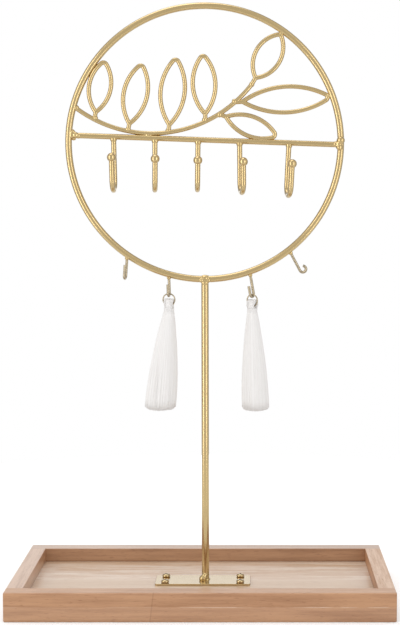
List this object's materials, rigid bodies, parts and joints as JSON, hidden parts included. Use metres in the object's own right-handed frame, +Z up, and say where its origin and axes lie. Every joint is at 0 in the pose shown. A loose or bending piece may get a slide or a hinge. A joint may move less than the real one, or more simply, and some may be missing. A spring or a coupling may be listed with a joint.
{
  "type": "jewelry stand",
  "caption": "Tabletop jewelry stand: a wire hoop on a post over a shallow wooden tray, with ball-tipped hooks on a cross bar, small hooks under the hoop and hanging yarn tassels.",
  "frame": {"origin": "middle of the tray's underside, on the surface that the stand stands on", "axes": "+Z up, +X to the right for a viewer in front, +Y away from the viewer towards the tray's back"},
  "size_m": [0.25, 0.12, 0.3976],
  "materials": {
    "tray_wood": "oiled light beech-like wood, satin, fine grain along the length",
    "gold_wire": "satin champagne gold plating",
    "gold_plate": "satin champagne gold plating on flat sheet and screws",
    "tassel_yarn": "off-white thread, soft sheen"
  },
  "bodies": {
    "stand": {"tray_base_board": "tray_wood", "tray_rim_front": "tray_wood", "tray_rim_back": "tray_wood", "tray_rim_left": "tray_wood", "tray_rim_right": "tray_wood", "base_plate": "gold_plate", "base_plate_screws": "gold_plate", "post": "gold_wire", "post_foot_weld": "gold_wire", "hoop": "gold_wire", "post_top_weld": "gold_wire", "cross_bar": "gold_wire", "cross_bar_welds": "gold_wire", "ball_hook_1": "gold_wire", "ball_hook_2": "gold_wire", "ball_hook_3": "gold_wire", "ball_hook_4": "gold_wire", "ball_hook_5": "gold_wire", "hook_ball_1": "gold_wire", "hook_ball_2": "gold_wire", "hook_ball_3": "gold_wire", "hook_ball_4": "gold_wire", "hook_ball_5": "gold_wire", "small_hook_1": "gold_wire", "small_hook_2": "gold_wire", "small_hook_3": "gold_wire", "small_hook_4": "gold_wire", "ornament_stem": "gold_wire", "ornament_leaf_1": "gold_wire", "ornament_leaf_2": "gold_wire", "ornament_leaf_3": "gold_wire", "ornament_leaf_4": "gold_wire", "ornament_leaf_5": "gold_wire", "ornament_leaf_6": "gold_wire", "ornament_leaf_7": "gold_wire"},
    "ring_left": {"jump_ring_left": "gold_wire"},
    "tassel_left": {"tassel_threads_left": "tassel_yarn", "tassel_tie_left": "tassel_yarn"},
    "ring_right": {"jump_ring_right": "gold_wire"},
    "tassel_right": {"tassel_threads_right": "tassel_yarn", "tassel_tie_right": "tassel_yarn"}
  },
  "joints": [
    {"name": "left_ring_swing", "type": "hinge", "parent": "stand", "child": "ring_left", "pos_m": [-0.0223, -0.00218, 0.20348], "axis": [-0.1564, -0.9877, 0], "range_deg": [-60, 12]},
    {"name": "left_tassel_swing", "type": "hinge", "parent": "ring_left", "child": "tassel_left", "pos_m": [-0.0223, -0.00218, 0.19697], "axis": [-0.9877, 0.1564, 0], "range_deg": [-60, 60]},
    {"name": "right_ring_swing", "type": "hinge", "parent": "stand", "child": "ring_right", "pos_m": [0.0333, -0.00205, 0.20293], "axis": [-0.5299, -0.848, 0], "range_deg": [-12, 60]},
    {"name": "right_tassel_swing", "type": "hinge", "parent": "ring_right", "child": "tassel_right", "pos_m": [0.0333, -0.00205, 0.19641], "axis": [-0.848, 0.5299, 0], "range_deg": [-60, 60]}
  ]
}
